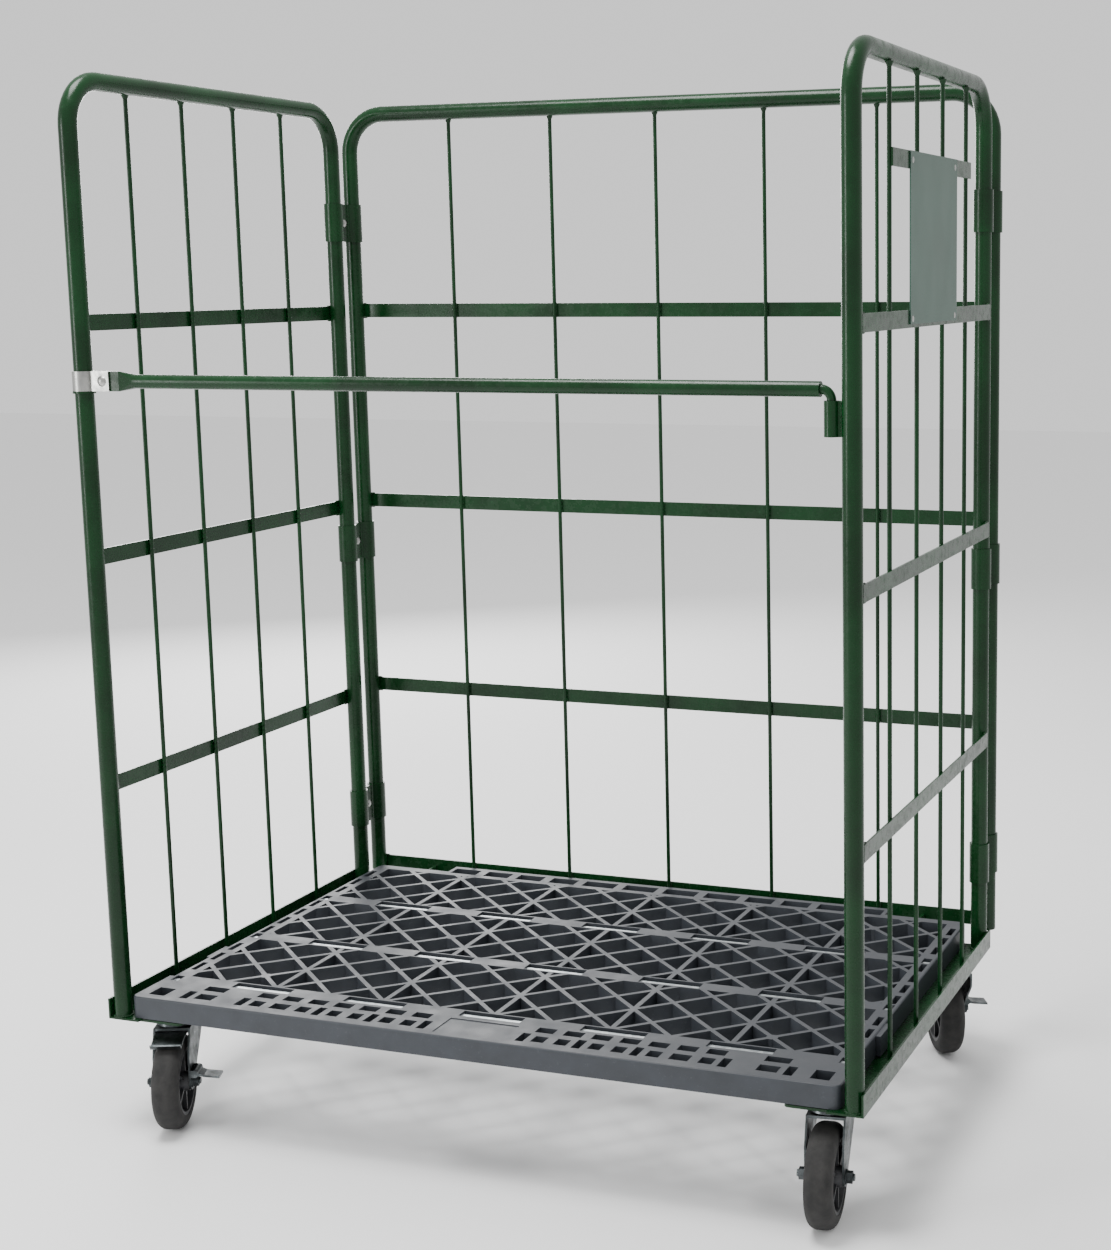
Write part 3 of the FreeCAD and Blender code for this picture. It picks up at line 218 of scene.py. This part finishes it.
SPOT_R = 0.0052
SPOT_FLAT = 0.00312             # half a spot's thickness
SPOT_PROUD = 0.0008             # spot's middle off the face of the back rails
SPOT_TALL = 0.0065
SPOT_RISES = (-0.008, 0.0, 0.008)
WIRE_INSET = 0.0055             # inner side of the wires' welds to the spots
WIRE_R = 0.0035
FOOT_RISE = 0.0015
FOOT_BEAD_R = 0.0021
FOOT_BEADS = 8
SEAM_R = 0.0019                 # seam that holds a rail's end to its post
SEAM_LEN = 0.011
SEAM_INSET = 0.001
BEAD_STEP = 0.002
POST_RISE = 0.0008
POST_BEAD_R = 0.0022
POST_BEADS = 34
for side, sign in (("left", -1), ("right", 1)):
    beads = bmesh.new()
    wires = islands(side + "_side_wires")
    rails = islands(side + "_side_rails")
    frame_low, frame_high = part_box(side + "_side_frame")
    for wire_low, wire_high in wires:
        wire_y = (wire_low[1] + wire_high[1]) / 2
        wire_x = sign * (min(abs(wire_low[0]), abs(wire_high[0])) + WIRE_INSET)
        for rail_low, rail_high in rails:
            rail_z = (rail_low[2] + rail_high[2]) / 2
            for rise in SPOT_RISES:
                ellipsoid(beads, (wire_x, wire_y, rail_z + rise), (SPOT_FLAT, SPOT_R, SPOT_TALL))
        foot = Vector((wire_x, wire_y, wire_low[2] + FOOT_RISE))
        bead_ring(beads, foot, WIRE_R, FOOT_BEAD_R, FOOT_BEADS)
    for rail_low, rail_high in rails:
        seam_x = (rail_low[0] + rail_high[0]) / 2 - sign * SEAM_INSET
        for end_y, toward in ((rail_low[1], 1), (rail_high[1], -1)):
            for edge_z in (rail_low[2], rail_high[2]):
                bead_row(beads, (seam_x, end_y - toward * SEAM_INSET, edge_z),
                         (seam_x, end_y + toward * SEAM_LEN, edge_z), SEAM_R, BEAD_STEP)
    post_x = (frame_low[0] + frame_high[0]) / 2
    tube_r = (frame_high[0] - frame_low[0]) / 2
    for post_y in (frame_low[1] + tube_r, frame_high[1] - tube_r):
        bead_ring(beads, (post_x, post_y, frame_low[2] + POST_RISE), tube_r, POST_BEAD_R, POST_BEADS)
    piece(side + "_panel_welds", beads, powder_green, "cage")

beads = bmesh.new()
back_rails = islands("back_rails") + [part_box("back_base_rail")]
spot_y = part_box("back_rails")[0][1] - SPOT_PROUD
for wire_low, wire_high in islands("back_wires"):
    wire_x = (wire_low[0] + wire_high[0]) / 2
    for rail_low, rail_high in back_rails:
        rail_z = (rail_low[2] + rail_high[2]) / 2
        for rise in SPOT_RISES:
            ellipsoid(beads, (wire_x, spot_y, rail_z + rise), (SPOT_R, SPOT_FLAT, SPOT_TALL))
for rail_low, rail_high in back_rails:
    seam_y = (rail_low[1] + rail_high[1]) / 2 - SEAM_INSET
    for end_x, toward in ((rail_low[0], 1), (rail_high[0], -1)):
        for edge_z in (rail_low[2], rail_high[2]):
            bead_row(beads, (end_x - toward * SEAM_INSET, seam_y, edge_z),
                     (end_x + toward * SEAM_LEN, seam_y, edge_z), SEAM_R, BEAD_STEP)
piece("back_panel_welds", beads, powder_green, "cage")

# Zinc plated parts: the bar's clamp, the rivets, the castors' races and the deck's hinge pins.
# Pressed and turned mild steel with a thin zinc plate: cool grey, a little cloudy, softly reflective.
bright_zinc, tree, shader, place = start_material("bright_zinc_plate", 0.3, 1.0)
cloud = node(tree, "ShaderNodeTexNoise", {"Scale": 55.0, "Detail": 5.0}, Vector=place)
tint = ramp(tree, cloud.outputs["Fac"], [(0.3, linear("#8f908e")), (0.7, linear("#b9b9b5"))])
tree.links.new(tint.outputs["Color"], shader.inputs["Base Color"])
dull = ramp(tree, cloud.outputs["Fac"], [(0.35, grey(0.42)), (0.65, grey(0.26))])
tree.links.new(dull.outputs["Color"], shader.inputs["Roughness"])
# Rolling marks from the sheet, about 1 mm apart.
marks = node(tree, "ShaderNodeTexNoise", {"Scale": 900.0, "Detail": 2.0}, Vector=place)
bump = node(tree, "ShaderNodeBump", {"Strength": 0.05, "Distance": 0.0005}, Height=marks.outputs["Fac"])
tree.links.new(bump.outputs["Normal"], shader.inputs["Normal"])
zinc_nodes = nodes_in("zinc_plate")
finish_with(zinc_nodes, bright_zinc)

# Castor forks, kingpins, axles and brakes: pressed and turned steel, zinc plated like the parts above.
# Grease and floor dirt have darkened the plate unevenly.
worn_zinc, tree, shader, place = start_material("greased_zinc_plate", 0.34, 1.0)
grime = node(tree, "ShaderNodeTexNoise", {"Scale": 38.0, "Detail": 6.0, "Roughness": 0.65}, Vector=place)
grime_tint = ramp(tree, grime.outputs["Fac"], [(0.35, linear("#313636")), (0.7, linear("#6b7072"))])
tree.links.new(grime_tint.outputs["Color"], shader.inputs["Base Color"])
grime_gloss = ramp(tree, grime.outputs["Fac"], [(0.35, grey(0.5)), (0.65, grey(0.24))])
tree.links.new(grime_gloss.outputs["Color"], shader.inputs["Roughness"])
WORN_ENDINGS = ("_fork", "_axle", "_lever", "_bracket", "_shoe", "_kingpins")
finish_with([n for n in zinc_nodes if n.endswith(WORN_ENDINGS)], worn_zinc)

# Socket for the bar's hook: a short steel tube on a web, fixed to the right post by a run of weld each side.
# The beads are coated over together with the post.
socket_low, socket_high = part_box("bar_socket")
post_side_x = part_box("right_side_frame")[0][0]
socket_y = (socket_low[1] + socket_high[1]) / 2
WEB_HALF_T = 0.0035
WEB_SEAM_OUT = 0.0006           # seam's middle off the face of the web
WEB_SEAM_X = 0.0003             # and inside the post's surface
WEB_SEAM_R = 0.0017
beads = bmesh.new()
for seam_side in (-1, 1):
    seam_x = post_side_x + WEB_SEAM_X
    seam_y = socket_y + seam_side * (WEB_HALF_T + WEB_SEAM_OUT)
    bead_row(beads, (seam_x, seam_y, socket_low[2] + BEAD_STEP),
             (seam_x, seam_y, socket_high[2] - BEAD_STEP), WEB_SEAM_R, BEAD_STEP)
piece("socket_welds", beads, powder_green, "cage")

# Reinforcing beams in the deck: rolled galvanised channel that shows through the windows of the deck.
# Hot-dip zinc leaves a pale grey skin with crystals some 8 mm across.
galvanised, tree, shader, place = start_material("galvanised_channel", 0.38, 0.85)
crystals = node(tree, "ShaderNodeTexVoronoi", {"Scale": 125.0}, Vector=place)
crystal_tint = ramp(tree, crystals.outputs["Color"], [(0.2, linear("#92989b")), (0.8, linear("#b4b9ba"))])
tree.links.new(crystal_tint.outputs["Color"], shader.inputs["Base Color"])
finish_with(["deck_beams"], galvanised)

# Deck: one moulding of recycled polypropylene, mid grey with a slightly blue cast.
# The mould leaves a fine grain, and goods leave faint pale scuffs.
deck_plastic, tree, shader, place = start_material("moulded_polypropylene", 0.5)
shader.inputs["Specular IOR Level"].default_value = 0.4
mottle = node(tree, "ShaderNodeTexNoise", {"Scale": 22.0, "Detail": 5.0, "Roughness": 0.6}, Vector=place)
body_tone = ramp(tree, mottle.outputs["Fac"], [(0.3, linear("#2a2e33")), (0.7, linear("#363a40"))])
scuff_place = node(tree, "ShaderNodeMapping", {"Scale": (1.0, 0.35, 1.0)}, Vector=place)
scuff = node(tree, "ShaderNodeTexNoise", {"Scale": 160.0, "Detail": 8.0, "Roughness": 0.75},
             Vector=scuff_place.outputs["Vector"])
scuffed = ramp(tree, scuff.outputs["Fac"], [(0.58, grey(0.0)), (0.74, grey(0.6))])
deck_colour_and_shade = mix_colour(tree, scuffed.outputs["Color"], body_tone.outputs["Color"], linear("#50545a"))
# Level faces are painted one even darker tone, chosen by which way a face points, so their scuffs show less
# than the walls': painted shade by facing.
facing = node(tree, "ShaderNodeNewGeometry")
upness = node(tree, "ShaderNodeSeparateXYZ", Vector=facing.outputs["Normal"])
painted_shade_by_facing = ramp(tree, upness.outputs["Z"], [(0.5, grey(0.0)), (0.95, grey(0.75))])
deck_colour_and_shade = mix_colour(tree, painted_shade_by_facing.outputs["Color"], deck_colour_and_shade, linear("#2d3035"))
tree.links.new(deck_colour_and_shade, shader.inputs["Base Color"])
deck_gloss = ramp(tree, mottle.outputs["Fac"], [(0.3, grey(0.42)), (0.7, grey(0.58))])
tree.links.new(deck_gloss.outputs["Color"], shader.inputs["Roughness"])
# Mould grain: 1 mm pimples, drawn a little coarser than they are so that they show.
grain = node(tree, "ShaderNodeTexNoise", {"Scale": 800.0, "Detail": 3.0}, Vector=place)
bump = node(tree, "ShaderNodeBump", {"Strength": 0.12, "Distance": 0.0008}, Height=grain.outputs["Fac"])
tree.links.new(bump.outputs["Normal"], shader.inputs["Normal"])
finish_with(["deck_moulding"], deck_plastic)

# Placard: thin steel sheet in a greyer green, riveted to its strip and to the upper rail.
# The sheet isn't quite flat, so its gloss wanders.
placard_sheet, tree, shader, place = start_material("placard_enamel", 0.42)
sheet_tone = node(tree, "ShaderNodeTexNoise", {"Scale": 5.0, "Detail": 3.0}, Vector=place)
sheet_tint = ramp(tree, sheet_tone.outputs["Fac"], [(0.35, linear("#1f4133")), (0.65, linear("#2a4d3f"))])
tree.links.new(sheet_tint.outputs["Color"], shader.inputs["Base Color"])
wave = node(tree, "ShaderNodeTexNoise", {"Scale": 11.0, "Detail": 1.0}, Vector=place)
bump = node(tree, "ShaderNodeBump", {"Strength": 0.5, "Distance": 0.004}, Height=wave.outputs["Fac"])
tree.links.new(bump.outputs["Normal"], shader.inputs["Normal"])
finish_with(["placard_plate"], placard_sheet)

# Tyres: solid grey rubber moulded on to the hub, matt and dusty, with rubbed treads.
grey_rubber, tree, shader, place = start_material("solid_grey_rubber", 0.8)
shader.inputs["Specular IOR Level"].default_value = 0.3
dust = node(tree, "ShaderNodeTexNoise", {"Scale": 48.0, "Detail": 7.0, "Roughness": 0.65}, Vector=place)
rubber_tint = ramp(tree, dust.outputs["Fac"], [(0.32, linear("#232323")), (0.7, linear("#343332"))])
tree.links.new(rubber_tint.outputs["Color"], shader.inputs["Base Color"])
pits = node(tree, "ShaderNodeTexNoise", {"Scale": 700.0, "Detail": 3.0}, Vector=place)
bump = node(tree, "ShaderNodeBump", {"Strength": 0.15, "Distance": 0.0006}, Height=pits.outputs["Fac"])
tree.links.new(bump.outputs["Normal"], shader.inputs["Normal"])
finish_with(nodes_in("grey_tyre"), grey_rubber)

# Hubs: injection moulded black nylon, turning on the axle's steel sleeve.
# The mould leaves it satin, and dust greys it in patches.
black_nylon, tree, shader, place = start_material("moulded_black_nylon", 0.45)
hub_dust = node(tree, "ShaderNodeTexNoise", {"Scale": 60.0, "Detail": 5.0}, Vector=place)
hub_tint = ramp(tree, hub_dust.outputs["Fac"], [(0.4, linear("#1b1c1e")), (0.75, linear("#36373a"))])
tree.links.new(hub_tint.outputs["Color"], shader.inputs["Base Color"])
finish_with(nodes_in("black_hub"), black_nylon)

# Studio: a pale floor with soft lights all round, so the tubes carry long soft highlights.
floor_mesh = bpy.data.meshes.new("floor")
HALF_FLOOR = 14.0
floor_mesh.from_pydata([(-HALF_FLOOR, -HALF_FLOOR, 0), (HALF_FLOOR, -HALF_FLOOR, 0),
                        (HALF_FLOOR, HALF_FLOOR, 0), (-HALF_FLOOR, HALF_FLOOR, 0)], [], [(0, 1, 2, 3)])
floor = bpy.data.objects.new("floor", floor_mesh)
bpy.context.scene.collection.objects.link(floor)
pale_floor, tree, shader, place = start_material("pale_studio_floor", 0.9)
shader.inputs["Base Color"].default_value = grey(0.92)
floor_mesh.materials.append(pale_floor)

world = bpy.data.worlds.new("studio_air")
bpy.context.scene.world = world
world.use_nodes = True
world.node_tree.nodes["Background"].inputs["Color"].default_value = grey(1.0)
world.node_tree.nodes["Background"].inputs["Strength"].default_value = 1.0


def soft_light(name, place_at, aim_at, size, watts):
    lamp = bpy.data.lights.new(name, "AREA")
    lamp.shape = "RECTANGLE"
    lamp.size, lamp.size_y = size
    lamp.energy = watts
    made = bpy.data.objects.new(name, lamp)
    bpy.context.scene.collection.objects.link(made)
    made.location = place_at
    made.rotation_euler = (Vector(aim_at) - Vector(place_at)).to_track_quat("-Z", "Y").to_euler()


soft_light("ceiling_light", (-0.5, -0.6, 3.8), (0, 0, 0.4), (1.6, 1.4), 150)
soft_light("front_left_light", (-3.2, -3.4, 1.5), (0, 0, 0.3), (1.0, 2.0), 75)
soft_light("back_light", (-2.6, 3.4, 1.8), (0, 0, 0.1), (2.0, 1.6), 90)

# Camera: a standing viewer's place in front and to the right, looking a little down.
lens = bpy.data.cameras.new("camera")
lens.sensor_width = 36.0
lens.lens = 57.77
lens.shift_x = -0.1918
lens.shift_y = -0.0250
camera = bpy.data.objects.new("camera", lens)
bpy.context.scene.collection.objects.link(camera)
YAW, PITCH, ROLL = (math.radians(a) for a in (-19.0, -9.05, -0.48))
CAMERA_RIGHT = 1.3977
CAMERA_BEFORE_POSTS = 2.5307
CAMERA_HEIGHT = 1.3404
POST_R = 0.014
front_post_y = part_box("left_side_frame")[0][1] + POST_R
camera.location = (CAMERA_RIGHT, front_post_y - CAMERA_BEFORE_POSTS, CAMERA_HEIGHT)
looking = Vector((math.sin(YAW) * math.cos(PITCH), math.cos(YAW) * math.cos(PITCH), math.sin(PITCH)))
across = Vector((math.cos(YAW), -math.sin(YAW), 0))
upward = across.cross(looking)
tilted_across = across * math.cos(ROLL) + upward * math.sin(ROLL)
tilted_up = upward * math.cos(ROLL) - across * math.sin(ROLL)
camera.rotation_euler = Matrix((tilted_across, tilted_up, -looking)).transposed().to_euler()
bpy.context.scene.camera = camera
